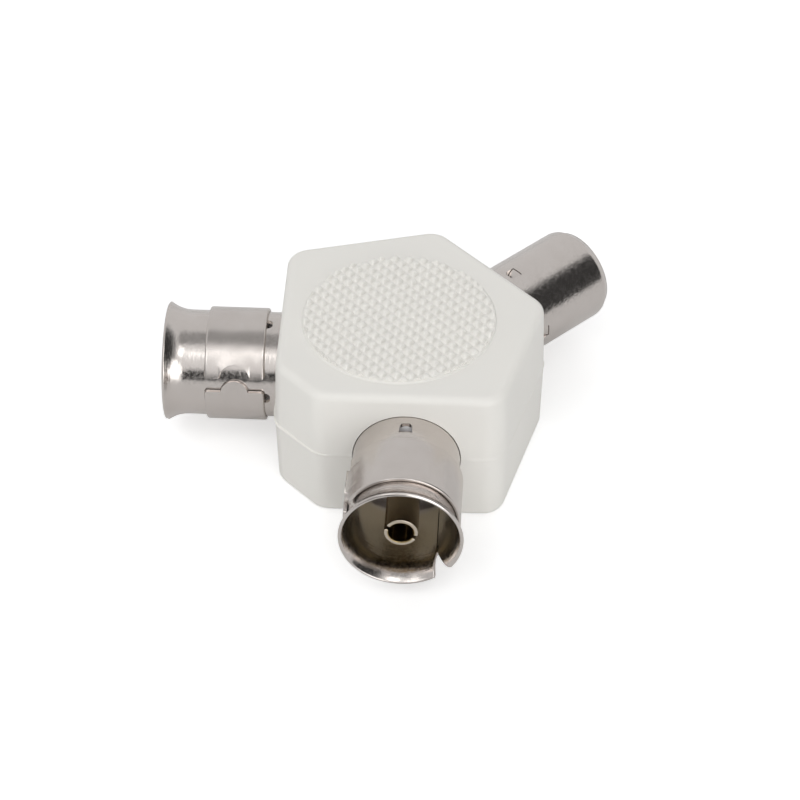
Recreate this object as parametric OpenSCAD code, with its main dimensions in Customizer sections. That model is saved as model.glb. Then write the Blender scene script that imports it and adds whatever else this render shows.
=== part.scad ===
// Two-way aerial splitter with push-on coaxial fittings: one plug and two sockets.
// The three fitting axes lie in one level plane and cross above the middle of the base.
// The plug points along +Y, the sockets point 45 degrees either side of -Y.

/* [Housing] */
// Height of the low ribs on the floor that carry the ground plate
rest_h = 0.63; // [0.3:0.01:3]
// Free height between the flanges of the sockets and the roof
roof_gap = 0.25; // [0.05:0.05:3]
// Distance from the crossing of the axes to the face round the plug
plug_face = 10.7; // [10.2:0.1:12]
// Distance from the crossing of the axes to each slanted back face
back_face = 12.2; // [11.8:0.1:13]
// Distance from the crossing of the axes to the face round each socket
socket_face = 13; // [12.6:0.1:14]
// How much of the corner between the two socket faces the nose cuts off
nose_cut = 3.1; // [2.6:0.1:4]
// Wall, roof and floor thickness of the mouldings
wall = 1.4; // [1.2:0.1:1.6]
// Rounding of the upright corners at the parting line
corner_r = 2.5; // [2:0.1:3]
// Rounding of the top and bottom edges
edge_r = 0.8; // [0.3:0.1:1.2]
// Draft of the side walls, in degrees from upright
draft = 1.6; // [0.5:0.1:2.5]
// Thickness of the ribs that cradle the fittings inside
rib_t = 0.9; // [0.7:0.1:1.1]
// Radius of the posts that join the two mouldings
post_r = 1.6; // [1.4:0.1:1.8]
// Diameter of the pins on the upper moulding
peg_d = 1.6; // [1.2:0.1:2]
// Length of the pins on the upper moulding
peg_l = 3; // [2:0.1:4]

/* [Grip pad] */
// Diameter of the raised pad on the roof
pad_d = 18.8; // [16:0.1:19.2]
// Height of the pad above the roof, to the tips of its pyramids
pad_h = 0.48; // [0.4:0.02:0.8]
// Shift of the pad's centre from the crossing of the axes towards the sockets
pad_shift = 1.85; // [1:0.05:2.2]
// Spacing of the grooves
groove_pitch = 0.98; // [0.9:0.01:1.4]
// Depth of the grooves
groove_depth = 0.3; // [0.2:0.01:0.35]
// Turn of the groove grid about the vertical
groove_turn = -3.4; // [-10:0.1:10]

/* [Sockets] */
// Outer diameter of the rolled sleeve
sleeve_d = 10.3; // [10.1:0.05:10.6]
// Thickness of the rolled sheet
sheet_t = 0.35; // [0.3:0.01:0.4]
// How far the mouth stands out of the housing face
socket_out = 11.3; // [10.8:0.1:13]
// Outer diameter of the flared mouth
mouth_d = 11.9; // [11.6:0.05:12.4]
// Axial length of the flare
flare_l = 2.3; // [1.8:0.1:2.6]
// Width of the butt seam of the sleeve
seam_w = 0.15; // [0.1:0.01:0.3]
// Width of the open notch that the seam makes in the mouth
notch_w = 1.6; // [1:0.1:2.2]
// Length of that notch
notch_l = 2.3; // [1.5:0.1:2.8]
// Angle of the seam round the sleeve, from its underside towards the right when seen from outside
seam_turn = 43.5; // [30:0.5:60]
// Distance from the housing face to the front of the insulator
socket_seat = 1.7; // [1.4:0.1:2.2]

/* [Spring rings] */
// Thickness of the ring's strip
ring_t = 0.36; // [0.3:0.01:0.45]
// Length of the ring along the sleeve
ring_l = 5.8; // [5:0.1:6]
// Distance from the housing face to the left ring
left_ring_at = 1.35; // [1.2:0.05:2]
// Distance from the housing face to the right ring
right_ring_at = 3; // [2.4:0.1:3]
// Width of the gap between the ring's ends
ring_gap = 1.3; // [1:0.05:1.6]
// Radius of the half-round tongue on one end of the ring
tongue_r = 1.4; // [1:0.05:1.5]
// Angle of the left ring's gap round the sleeve, from its underside
left_ring_turn = 107; // [60:1:150]
// Angle of the right ring's gap round the sleeve, from its underside
right_ring_turn = 252; // [210:1:300]

/* [Plug] */
// Outer diameter of the plug sleeve
plug_d = 9.52; // [9.4:0.01:9.6]
// Wall of the plug sleeve
plug_t = 0.4; // [0.3:0.01:0.5]
// How far the plug sleeve stands out of the housing face
plug_out = 11.6; // [11:0.1:13]
// Rounding of the turned-in front edge
plug_edge_r = 0.8; // [0.6:0.05:1]
// Distance from the housing face to the front of the plug insulator
plug_seat = 3.7; // [3.5:0.1:4.5]
// How far the pin stands back from the front of the sleeve
pin_back = 0.5; // [0:0.1:1]

/* [Centre contacts] */
// Diameter of the plug's pin and of the bore of the socket contacts
pin_d = 2.4; // [2.3:0.01:2.45]
// Wall of the rolled socket contact
contact_t = 0.4; // [0.3:0.01:0.45]
// How far the socket contact stands back from the mouth
contact_back = 1; // [0.5:0.1:2]
// Length of the slits at the front of the socket contact
slit_l = 6; // [4:0.1:7]
// Width of those slits
slit_w = 0.4; // [0.3:0.01:0.5]
// Angle of one of the two opposite slits round the contact, from its underside
slit_turn = 67; // [30:1:80]
// Length of the solder tails behind the insulators
tail_l = 1.9; // [1.6:0.1:2.2]

/* [Staked tabs] */
// Width of the tabs that stake the insulators in the sleeves
tab_w = 1.15; // [0.8:0.05:1.4]
// Length of those tabs
tab_l = 1.25; // [1:0.05:1.35]
// Depth to which they are pressed in
tab_in = 0.45; // [0.35:0.01:0.6]
// Distance from the housing face to the tabs of the sockets
socket_tab_at = 0.55; // [0.5:0.05:0.8]
// Distance from the housing face to the tabs of the plug
plug_tab_at = 2.15; // [2:0.05:2.6]

/* [Network] */
// Thickness of the ground plate
plate_t = 0.4; // [0.3:0.05:0.6]
// Diameter of the round middle of the ground plate
plate_d = 12; // [10:0.5:14]
// Diameter of its two holes
plate_hole_d = 1.6; // [1:0.1:2]
// Width of the plate's tongues and of the grounding tails of the sleeves
tongue_w = 3.6; // [3:0.1:4]
// Width of each ferrite core across its two holes
core_w = 5.2; // [5:0.1:6]
// Height of each ferrite core
core_h = 3; // [2.8:0.1:3.4]
// Length of each ferrite core along its holes
core_l = 3; // [2.6:0.1:3.2]
// Diameter of the two holes of each core
core_hole_d = 1.5; // [1.4:0.05:1.6]
// Distance between the middles of the two cores
core_gap = 5.6; // [5.4:0.1:6]
// Diameter of the enamelled wire
wire_d = 0.3; // [0.2:0.01:0.32]
// Turns on each core
turns = 3; // [2:1:3]
// Diameter of the balancing resistor at its end caps
resistor_d = 1.8; // [1.6:0.1:2]
// Length of the balancing resistor's body
resistor_l = 3.6; // [3:0.1:4]
// Diameter of the resistor's leads
lead_d = 0.5; // [0.4:0.05:0.6]

/* [Hidden] */
$fn = 64;

// Running fit between a sleeve and the moulding round it, and between seated metal parts
bore_gap = 0.08;
seat_gap = 0.02;
// Cuts run this far past the surface that they open
over = 0.1;

// The three directions, anticlockwise from +X
plug_turn = 90;
left_turn = 225;
right_turn = 315;

// Each face of the housing: the direction that it looks in and its distance from the axes
inner_corner_r = 0.2;
nose_face = socket_face / cos(45) - nose_cut;
faces = [[30, back_face], [plug_turn, plug_face], [150, back_face],
    [left_turn, socket_face], [270, nose_face], [right_turn, socket_face]];
inner_edge_r = min(edge_r / 2, corner_r - wall - inner_corner_r);
edge_steps = 4;

// Along each axis, measured from the crossing of the axes
sleeve_r = sleeve_d / 2;
sleeve_in_r = sleeve_r - sheet_t;
flange_out = 0.6;
// Height of the three axes and of the parting line above the base, and the overall height
axis_h = wall + rest_h + plate_t + seat_gap + sleeve_r;
upper_h = sleeve_r + flange_out + roof_gap + wall;
body_h = axis_h + upper_h;
socket_in = socket_face - wall - seat_gap - sheet_t;
socket_rib = socket_in - seat_gap - rib_t;
insulator_back = 0.5;
socket_ins_in = socket_rib - insulator_back;
socket_ins_out = socket_face + socket_seat;
mouth_at = socket_face + socket_out;
contact_out = mouth_at - contact_back;
contact_r = pin_d / 2 + contact_t;
// Inside its insulator the socket contact is necked in, so that its shoulder stops on the front
contact_step = 0.6;
contact_root_r = contact_r - contact_step;
contact_root_in_r = contact_root_r - contact_t;

plug_r = plug_d / 2;
plug_in_r = plug_r - plug_t;
// Behind the housing face the plug sleeve is necked in, so that its shoulder stops on the face
neck_step = 0.2;
neck_r = plug_r - neck_step;
neck_in_r = neck_r - plug_t;
neck_slope = 0.12;
neck_end = plug_face + neck_slope;
plug_in = plug_face - wall - seat_gap - plug_t;
plug_rib = plug_in - seat_gap - rib_t;
plug_ins_in = plug_rib - insulator_back;
plug_ins_out = plug_face + plug_seat;
plug_tip = plug_face + plug_out;

// The collar that stops each centre contact in its insulator
collar_out = 0.4;
collar_t = 0.4;
collar_in = 1.5;

// The posts: one between the sockets and one beside each back face
post_wall = 1.1;
post_nose = 2.4;
post_front = [0, -(nose_face - wall - post_nose)];
post_side_turn = 3;
post_side_at = (back_face - wall - post_wall) / cos(faces[2][0] - 180 + post_side_turn);
peg_gap = 0.2;
posts = [post_front,
    [-post_side_at * cos(post_side_turn), post_side_at * sin(post_side_turn)],
    [post_side_at * cos(post_side_turn), post_side_at * sin(post_side_turn)]];

// The ground plate lies right under the grounding tails, on three short ribs
plate_top = axis_h - sleeve_r - seat_gap;
plate_rib_at = 2;
plate_rib_l = 4;
ground_tail = 1.5;
solder_r = 1.1;
solder_h = 0.7;

// The ferrite cores stand on the plate and the wire passes through their holes
core_mid_z = plate_top + core_h / 2;
hole_x = core_w / 4;
wire_r = wire_d / 2;
wire_sides = 8;
turn_gap = 0.06;
turn_step = wire_d + turn_gap;
loop_y = core_l / 2 + wire_d;
lead_room = 0.75;
bend_r = 0.28;
// Solder film between a wire and what it is soldered to
film = 0.05;

// The tails of the centre contacts, where the network is soldered on
contact_tail = socket_ins_in - tail_l;
pin_tail = plug_ins_in - tail_l;
matching_y = pin_tail - lead_room - loop_y;
splitting_y = matching_y - core_gap;
trough_z = axis_h - contact_root_in_r + wire_r + film;
resistor_y = -(contact_tail + tail_l * 0.55) * sin(45);
resistor_z = axis_h + lead_d / 2 + film;

// Point where two neighbouring faces of the housing meet, both moved in by the same amount
function corner(i, inset) =
    let (a = faces[i], b = faces[(i + 1) % len(faces)],
        p = a[1] - inset, q = b[1] - inset, d = sin(b[0] - a[0]))
    [(p * sin(b[0]) - q * sin(a[0])) / d, (q * cos(a[0]) - p * cos(b[0])) / d];

function arc(x, y, r, from, to, steps) =
    [for (i = [0:steps]) let (a = from + (to - from) * i / steps) [x + r * cos(a), y + r * sin(a)]];

// A path with each inner corner rounded by a short curve
function unit(v) = v / norm(v);
function rounded(path, r) = [for (i = [0:len(path) - 1])
    if (i == 0 || i == len(path) - 1) path[i]
    else let (p = path[i], a = path[i - 1] - p, b = path[i + 1] - p,
            k = min(r, norm(a) * 0.45, norm(b) * 0.45), s = p + unit(a) * k, e = p + unit(b) * k)
        each [for (t = [0, 0.33, 0.67, 1]) (1 - t) * (1 - t) * s + 2 * t * (1 - t) * p + t * t * e]];

// Directions square to the path, carried along it without twist
function square_to(v, d) = unit(v - (v * d) * d);
function along(path, i) = unit(path[min(i + 1, len(path) - 1)] - path[max(i - 1, 0)]);
function carried(path, i, side) = i >= len(path) ? []
    : let (s = square_to(side, along(path, i))) concat([s], carried(path, i + 1, s));

// Round wire swept along a path of points
module wire(path, r) {
    n = len(path);
    sides = carried(path, 0, abs(along(path, 0)[2]) < 0.9 ? [0, 0, 1] : [1, 0, 0]);
    points = [for (i = [0:n - 1]) let (x = sides[i], y = cross(along(path, i), x))
        for (j = [0:wire_sides - 1]) let (a = 360 * j / wire_sides) path[i] + r * (x * cos(a) + y * sin(a))];
    skin = [for (i = [0:n - 2]) for (j = [0:wire_sides - 1])
        let (a = i * wire_sides + j, b = i * wire_sides + (j + 1) % wire_sides)
        [a, a + wire_sides, b + wire_sides, b]];
    start = [for (j = [0:wire_sides - 1]) j];
    end = [for (j = [0:wire_sides - 1]) n * wire_sides - 1 - j];
    polyhedron(points, concat([start, end], skin), convexity = 8);
}

// Places a shape on one of the three axes: its Z runs outwards, its -X points up
module on_axis(turn) {
    translate([0, 0, axis_h]) rotate([0, 0, turn]) rotate([0, 90, 0]) children();
}

// Solid of one moulding's outline, moved in by cut, from the parting line up to height h
module outline(cut, h, edge) {
    r = corner_r - cut;
    lean = (h - edge) * tan(draft);
    profile = concat([[0, 0], [r, 0]], arc(r - lean - edge, h - edge, edge, 0, 90, edge_steps), [[0, h]]);
    hull() for (i = [0:len(faces) - 1])
        translate(corner(i, corner_r)) rotate_extrude($fn = 48) polygon(profile);
}

// Rib square to one axis that cradles the insulator and stops the flange of its sleeve
module rib(turn, from, bore_r) {
    rotate([0, 0, turn]) difference() {
        translate([from, -nose_face, 0]) cube([rib_t, 2 * nose_face, body_h]);
        translate([from - over, 0, 0]) rotate([0, 90, 0]) cylinder(h = rib_t + 2 * over, r = bore_r);
    }
}

// One moulding with its parting line on z = 0 and its floor at h
module half_shell(h) {
    difference() {
        union() {
            difference() {
                outline(0, h, edge_r);
                translate([0, 0, -over]) outline(wall, h - wall + over, inner_edge_r);
            }
            intersection() {
                outline(wall - over, h - wall + over, inner_edge_r);
                union() {
                    rib(plug_turn, plug_rib, neck_in_r + bore_gap);
                    rib(left_turn, socket_rib, sleeve_in_r + bore_gap);
                    rib(right_turn, socket_rib, sleeve_in_r + bore_gap);
                    for (p = posts) translate(p) cylinder(h = h - wall / 2, r = post_r);
                }
            }
        }
        sleeve_cut(plug_turn, plug_face, plug_in, neck_r);
        sleeve_cut(left_turn, socket_face, socket_in, sleeve_r);
        sleeve_cut(right_turn, socket_face, socket_in, sleeve_r);
    }
}

// Passage for a sleeve through the outer wall, with a flat seat inside for its flange
module sleeve_cut(turn, face, root, r) {
    rotate([0, 0, turn]) rotate([0, 90, 0]) {
        translate([0, 0, root - seat_gap]) cylinder(h = face - root + over, r = r + bore_gap);
        translate([0, 0, root - seat_gap])
            cylinder(h = face - wall - root + seat_gap, r = r + flange_out + bore_gap);
    }
}

// Slot under a sleeve for its grounding tail, through the rib
module tail_cut(turn, from, r) {
    rotate([0, 0, turn]) translate([from - over, -tongue_w / 2 - bore_gap, 0])
        cube([rib_t + 2 * over, tongue_w + 2 * bore_gap, r + bore_gap]);
}

// Ridges along one direction; two sets laid across each other leave rows of pyramids
module ridges(size) {
    n = ceil(size / groove_pitch / 2) + 1;
    teeth = [for (i = [-n:n - 1]) each
        [[i * groove_pitch, pad_h - groove_depth], [(i + 0.5) * groove_pitch, pad_h]]];
    rotate([90, 0, 0]) linear_extrude(2 * n * groove_pitch, center = true)
        polygon(concat([[-n * groove_pitch, -wall / 2]], teeth,
            [[n * groove_pitch, pad_h - groove_depth], [n * groove_pitch, -wall / 2]]));
}

module grip_pad() {
    intersection() {
        translate([0, 0, -wall / 2]) cylinder(h = wall + pad_h, r = pad_d / 2);
        rotate([0, 0, groove_turn]) ridges(pad_d);
        rotate([0, 0, groove_turn + 90]) ridges(pad_d);
    }
}

module upper_shell() {
    color([0.87, 0.87, 0.85]) union() {
        translate([0, 0, axis_h]) half_shell(upper_h);
        for (p = posts) translate([p[0], p[1], axis_h - peg_l]) cylinder(h = peg_l + post_r, d = peg_d);
        translate([0, -pad_shift, body_h]) grip_pad();
    }
}

module lower_shell() {
    color([0.87, 0.87, 0.85]) union() {
        difference() {
            translate([0, 0, axis_h]) mirror([0, 0, 1]) difference() {
                half_shell(axis_h);
                tail_cut(plug_turn, plug_rib, neck_r);
                tail_cut(left_turn, socket_rib, sleeve_r);
                tail_cut(right_turn, socket_rib, sleeve_r);
            }
            for (p = posts) translate([p[0], p[1], axis_h - peg_l - peg_gap])
                cylinder(h = peg_l + peg_gap + over, d = peg_d + 2 * bore_gap);
        }
        plate_ribs();
    }
}

// Low ribs on the floor that carry the ground plate
module plate_ribs() {
    h = plate_top - plate_t - wall;
    for (turn = [plug_turn, left_turn, right_turn])
        rotate([0, 0, turn]) translate([plate_rib_at, -rib_t / 2, wall - over])
            cube([plate_rib_l, rib_t, h + over]);
}

// Tabs sheared from a sleeve on three sides and pressed in towards the housing
module tab_windows(at, in_r, out_r) {
    for (a = [0:90:270]) rotate([0, 0, a])
        translate([in_r - over, -tab_w / 2, at]) cube([out_r - in_r + 2 * over, tab_w, tab_l]);
}

module tabs(at, in_r, out_r) {
    intersection() {
        translate([0, 0, at]) cylinder(h = tab_l + over, r = out_r);
        for (a = [0:90:270]) rotate([0, 0, a]) rotate([90, 0, 0])
            linear_extrude(tab_w - 2 * seat_gap, center = true)
            polygon([[out_r, at + tab_l + over], [in_r, at + tab_l + over], [in_r, at + tab_l],
                [in_r - tab_in, at + seat_gap], [out_r - tab_in, at + seat_gap], [out_r, at + tab_l]]);
    }
}

// Flange that stops a sleeve behind the wall, and the grounding tail that runs in below it
module sleeve_root(at, in_r, out_r) {
    difference() {
        translate([0, 0, at]) cylinder(h = out_r - in_r, r = out_r + flange_out);
        translate([0, 0, at - over]) cylinder(h = out_r - in_r + 2 * over, r = (in_r + out_r) / 2);
        translate([0, -tongue_w / 2, at - over])
            cube([out_r + flange_out + over, tongue_w, out_r - in_r + 2 * over]);
    }
    intersection() {
        translate([0, 0, at - rib_t - ground_tail]) difference() {
            cylinder(h = rib_t + ground_tail + over, r = out_r);
            translate([0, 0, -over]) cylinder(h = rib_t + ground_tail + 3 * over, r = in_r);
        }
        translate([0, -tongue_w / 2, at - rib_t - ground_tail])
            cube([out_r + over, tongue_w, rib_t + ground_tail + over]);
    }
}

module socket_sleeve() {
    grow = mouth_d / 2 - sleeve_r;
    bend = 2 * atan(grow / flare_l);
    flare_r = flare_l / sin(bend);
    start = mouth_at - (flare_r + sheet_t) * sin(bend);
    outer = arc(sleeve_r + flare_r, start, flare_r, 180, 180 - bend, 8);
    inner = arc(sleeve_r + flare_r, start, flare_r + sheet_t, 180 - bend, 180, 8);
    union() {
        difference() {
            rotate_extrude() polygon(concat([[sleeve_in_r, socket_in], [sleeve_r, socket_in]], outer, inner));
            tab_windows(socket_face + socket_tab_at, sleeve_in_r, sleeve_r);
            rotate([0, 0, seam_turn]) translate([0, -seam_w / 2, socket_in - over])
                cube([mouth_d, seam_w, mouth_at]);
            rotate([0, 0, seam_turn]) rotate([90, 0, 90]) linear_extrude(mouth_d)
                polygon([[0, mouth_at - notch_l], [notch_w / 2, mouth_at], [notch_w / 2, mouth_at + over],
                    [-notch_w / 2, mouth_at + over], [-notch_w / 2, mouth_at]]);
        }
        tabs(socket_face + socket_tab_at, sleeve_in_r, sleeve_r);
        sleeve_root(socket_in, sleeve_in_r, sleeve_r);
    }
}

module left_socket_sleeve() {
    color([0.74, 0.73, 0.7]) on_axis(left_turn) socket_sleeve();
}

module right_socket_sleeve() {
    color([0.74, 0.73, 0.7]) on_axis(right_turn) socket_sleeve();
}

// Open strip ring that grips the sleeve; a tongue on one end faces a hollow in the other
tongue_in = 0.3;
hollow_in = 0.15;
hollow_wide = 0.1;
module spring_ring(at, turn) {
    in_r = sleeve_r + seat_gap;
    out_r = in_r + ring_t;
    soft = ring_t / 3;
    middle = at + ring_l / 2;
    rotate([0, 0, turn]) union() {
        difference() {
            rotate_extrude() polygon([[in_r, at], [out_r - soft, at], [out_r, at + soft],
                [out_r, at + ring_l - soft], [out_r - soft, at + ring_l], [in_r, at + ring_l]]);
            translate([0, -ring_gap / 2, at - over]) cube([out_r + over, ring_gap, ring_l + 2 * over]);
            translate([0, ring_gap / 2 - hollow_in, middle]) rotate([0, 90, 0])
                cylinder(h = out_r + over, r = tongue_r + hollow_wide);
        }
        intersection() {
            translate([0, 0, at]) difference() {
                cylinder(h = ring_l, r = out_r);
                translate([0, 0, -over]) cylinder(h = ring_l + 2 * over, r = in_r);
            }
            translate([0, -ring_gap / 2 - tongue_in, middle]) rotate([0, 90, 0])
                cylinder(h = out_r + over, r = tongue_r);
        }
    }
}

module left_spring_ring() {
    color([0.7, 0.69, 0.66]) on_axis(left_turn) spring_ring(socket_face + left_ring_at, left_ring_turn);
}

module right_spring_ring() {
    color([0.7, 0.69, 0.66]) on_axis(right_turn) spring_ring(socket_face + right_ring_at, right_ring_turn);
}

// Stepped insulator: its shoulder stops against the staked tabs, the collar sits in its back
module insulator(from, to, tab_at, in_r, hole_r) {
    r = in_r - seat_gap;
    neck = in_r - tab_in - 2 * bore_gap;
    rotate_extrude() polygon([[hole_r + seat_gap, to], [neck, to], [neck, tab_at], [r, tab_at], [r, from],
        [hole_r + collar_out + seat_gap, from], [hole_r + collar_out + seat_gap, from + collar_in],
        [hole_r + seat_gap, from + collar_in]]);
}

module socket_insulator() {
    insulator(socket_ins_in, socket_ins_out, socket_face + socket_tab_at, sleeve_in_r, contact_root_r);
}

module left_insulator() {
    color([0.93, 0.92, 0.88]) on_axis(left_turn) socket_insulator();
}

module right_insulator() {
    color([0.93, 0.92, 0.88]) on_axis(right_turn) socket_insulator();
}

// Rolled tube with two opposite slits, one of them ending in the seam, and an open trough behind
module socket_contact() {
    shoulder = socket_ins_out + seat_gap;
    collar_at = socket_ins_in + collar_in - seat_gap - collar_t;
    difference() {
        rotate_extrude() polygon([[contact_root_in_r, contact_tail], [contact_root_r, contact_tail],
            [contact_root_r, collar_at], [contact_root_r + collar_out, collar_at],
            [contact_root_r + collar_out, collar_at + collar_t], [contact_root_r, collar_at + collar_t],
            [contact_root_r, shoulder], [contact_r, shoulder], [contact_r, contact_out],
            [pin_d / 2, contact_out], [pin_d / 2, shoulder + contact_t],
            [contact_root_in_r, shoulder + contact_t]]);
        translate([-2 * contact_r, -2 * contact_r, contact_tail - over])
            cube([2 * contact_r, 4 * contact_r, tail_l]);
        rotate([0, 0, slit_turn + 180]) translate([0, -seam_w / 2, contact_tail - over])
            cube([2 * contact_r, seam_w, contact_out]);
        for (a = [slit_turn, slit_turn + 180]) rotate([0, 0, a])
            translate([0, -slit_w / 2, contact_out - slit_l]) cube([2 * contact_r, slit_w, slit_l + over]);
    }
}

module left_contact() {
    color([0.72, 0.7, 0.64]) on_axis(left_turn) socket_contact();
}

module right_contact() {
    color([0.72, 0.7, 0.64]) on_axis(right_turn) socket_contact();
}

// Drawn sleeve with a turned-in front edge
module plug_sleeve() {
    edge = arc(plug_r - plug_edge_r, plug_tip - plug_edge_r, plug_edge_r, 0, 90, 6);
    back = arc(plug_r - plug_edge_r, plug_tip - plug_edge_r, plug_edge_r - plug_t, 90, 0, 6);
    color([0.76, 0.75, 0.72]) on_axis(plug_turn) union() {
        difference() {
            rotate_extrude() polygon(concat([[neck_in_r, plug_in], [neck_r, plug_in], [neck_r, plug_face],
                [plug_r, neck_end]], edge, back, [[plug_in_r, neck_end], [neck_in_r, plug_face]]));
            tab_windows(plug_face + plug_tab_at, plug_in_r, plug_r);
        }
        tabs(plug_face + plug_tab_at, plug_in_r, plug_r);
        sleeve_root(plug_in, neck_in_r, neck_r);
    }
}

module plug_insulator() {
    color([0.93, 0.92, 0.88]) on_axis(plug_turn)
        insulator(plug_ins_in, plug_ins_out, plug_face + plug_tab_at, neck_in_r, pin_d / 2);
}

// Turned pin with a round nose, a collar and a flat-topped tail
module plug_pin() {
    r = pin_d / 2;
    tip = plug_tip - pin_back;
    collar_at = plug_ins_in + collar_in - seat_gap - collar_t;
    color([0.8, 0.78, 0.7]) on_axis(plug_turn) difference() {
        union() {
            rotate_extrude() polygon(concat([[0, pin_tail], [r, pin_tail]],
                arc(0, tip - r, r, 0, 90, 8)));
            translate([0, 0, collar_at]) cylinder(h = collar_t, r = r + collar_out);
        }
        translate([-2 * r, -r - over, pin_tail - over]) cube([2 * r, 2 * r + 2 * over, tail_l]);
    }
}

// Flat stamping with a tongue towards each sleeve
module ground_plate() {
    color([0.7, 0.7, 0.68]) translate([0, 0, plate_top - plate_t]) linear_extrude(plate_t) {
        difference() {
            circle(d = plate_d);
            for (x = [-1, 1]) translate([x * (plate_d / 2 - plate_hole_d), 0]) circle(d = plate_hole_d);
        }
        for (t = [[plug_turn, plug_rib], [left_turn, socket_rib], [right_turn, socket_rib]])
            rotate([0, 0, t[0]]) translate([0, -tongue_w / 2]) square([t[1] - bore_gap, tongue_w]);
    }
}

// Half-round solder joints between the ends of the grounding tails and the plate
module ground_solder() {
    color([0.8, 0.8, 0.8]) for (t = [[plug_turn, plug_in], [left_turn, socket_in], [right_turn, socket_in]])
        rotate([0, 0, t[0]]) translate([t[1] - rib_t - ground_tail - seat_gap, 0, plate_top + seat_gap])
            intersection() {
                rotate_extrude()
                    polygon(concat([[0, 0]], arc(0, 0, solder_h, 0, 90, 6) * [[solder_r / solder_h, 0], [0, 1]]));
                translate([-2 * solder_r, -2 * solder_r, 0]) cube([2 * solder_r, 4 * solder_r, solder_h]);
            }
}

// Two-hole ferrite core standing on the plate
module core(y) {
    color([0.2, 0.2, 0.21]) translate([0, y + core_l / 2, core_mid_z + seat_gap]) rotate([90, 0, 0])
        linear_extrude(core_l) difference() {
            union() {
                for (x = [-1, 1]) translate([x * (core_w - core_h) / 2, 0]) circle(d = core_h);
                square([core_w - core_h, core_h], center = true);
            }
            for (x = [-hole_x, hole_x]) translate([x, 0]) circle(d = core_hole_d);
        }
}

module matching_core() core(matching_y);

module splitting_core() core(splitting_y);

// Turns through both holes of a core; side is the way that the two ends come out
function turn_z(k) = core_mid_z + (k - (turns - 1) / 2) * turn_step;
function winding(y, side) = [for (k = [0:turns - 1]) each [
    [hole_x, y + side * loop_y, turn_z(k)], [hole_x, y - side * loop_y, turn_z(k)],
    [-hole_x, y - side * loop_y, turn_z(k)], [-hole_x, y + side * loop_y, turn_z(k)]]];

// Wire from the plug pin through the matching core to the ground plate
lead_reach = 0.6;
lead_drop = 1.5;
foot_h = 0.8;
module matching_winding() {
    z = axis_h + wire_r + film;
    lead_y = matching_y + loop_y + lead_reach / 3;
    foot = [-hole_x - lead_reach, matching_y + loop_y + 2 * lead_reach / 3];
    lead = [[0, pin_tail + tail_l * 0.6, z], [0, pin_tail - lead_reach, z], [hole_x, lead_y, z - lead_drop]];
    down = [for (h = [foot_h, film]) [foot[0], foot[1], plate_top + h]];
    color([0.72, 0.36, 0.18]) wire(rounded(concat(lead, winding(matching_y, 1), down), bend_r), wire_r);
}

// Wire from the right contact through the splitting core to the left contact
function trough(side, s) = [side * s * cos(45), -s * sin(45), trough_z];
module splitting_winding() {
    ends = [contact_tail + tail_l * 0.6, contact_tail - 0.8];
    color([0.72, 0.36, 0.18]) wire(rounded(concat([for (s = ends) trough(1, s)],
        winding(splitting_y, -1), [for (s = [ends[1], ends[0]]) trough(-1, s)]), bend_r), wire_r);
}

// Short link between the middles of the two windings
link_rise = 0.5;
link_lean = 0.1;
module link_wire() {
    z = turn_z(turns - 1) + turn_step;
    near = matching_y - loop_y;
    far = splitting_y + loop_y;
    color([0.72, 0.36, 0.18]) wire(rounded([[0, near, z], [0, near - link_lean, z + link_rise],
        [0, far + link_lean, z + link_rise], [0, far, z]], bend_r), wire_r);
}

// Dog-bone resistor body between the two contact tails
cap_soft = 0.25;
module resistor() {
    r = resistor_d / 2;
    waist = r * 0.84;
    half = resistor_l / 2;
    side = [[r - cap_soft, half], [r, half - cap_soft], [r, half * 0.48], [waist, half * 0.32]];
    color([0.8, 0.7, 0.5]) translate([0, resistor_y, resistor_z]) rotate([0, 90, 0]) rotate_extrude()
        polygon(concat([[0, half]], side, [for (i = [3:-1:0]) [side[i][0], -side[i][1]]], [[0, -half]]));
}

module resistor_lead(side) {
    reach = lead_reach - resistor_y;
    color([0.75, 0.75, 0.74]) translate([side * (resistor_l / 2 + seat_gap), resistor_y, resistor_z])
        rotate([0, side * 90, 0]) cylinder(h = reach - resistor_l / 2, d = lead_d);
}

module left_resistor_lead() resistor_lead(-1);

module right_resistor_lead() resistor_lead(1);

upper_shell();
lower_shell();
plug_sleeve();
plug_insulator();
plug_pin();
left_socket_sleeve();
right_socket_sleeve();
left_spring_ring();
right_spring_ring();
left_insulator();
right_insulator();
left_contact();
right_contact();
ground_plate();
ground_solder();
matching_core();
splitting_core();
matching_winding();
splitting_winding();
link_wire();
resistor();
left_resistor_lead();
right_resistor_lead();
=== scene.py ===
import bmesh
import bpy
import math
from mathutils import Matrix, Vector


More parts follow.
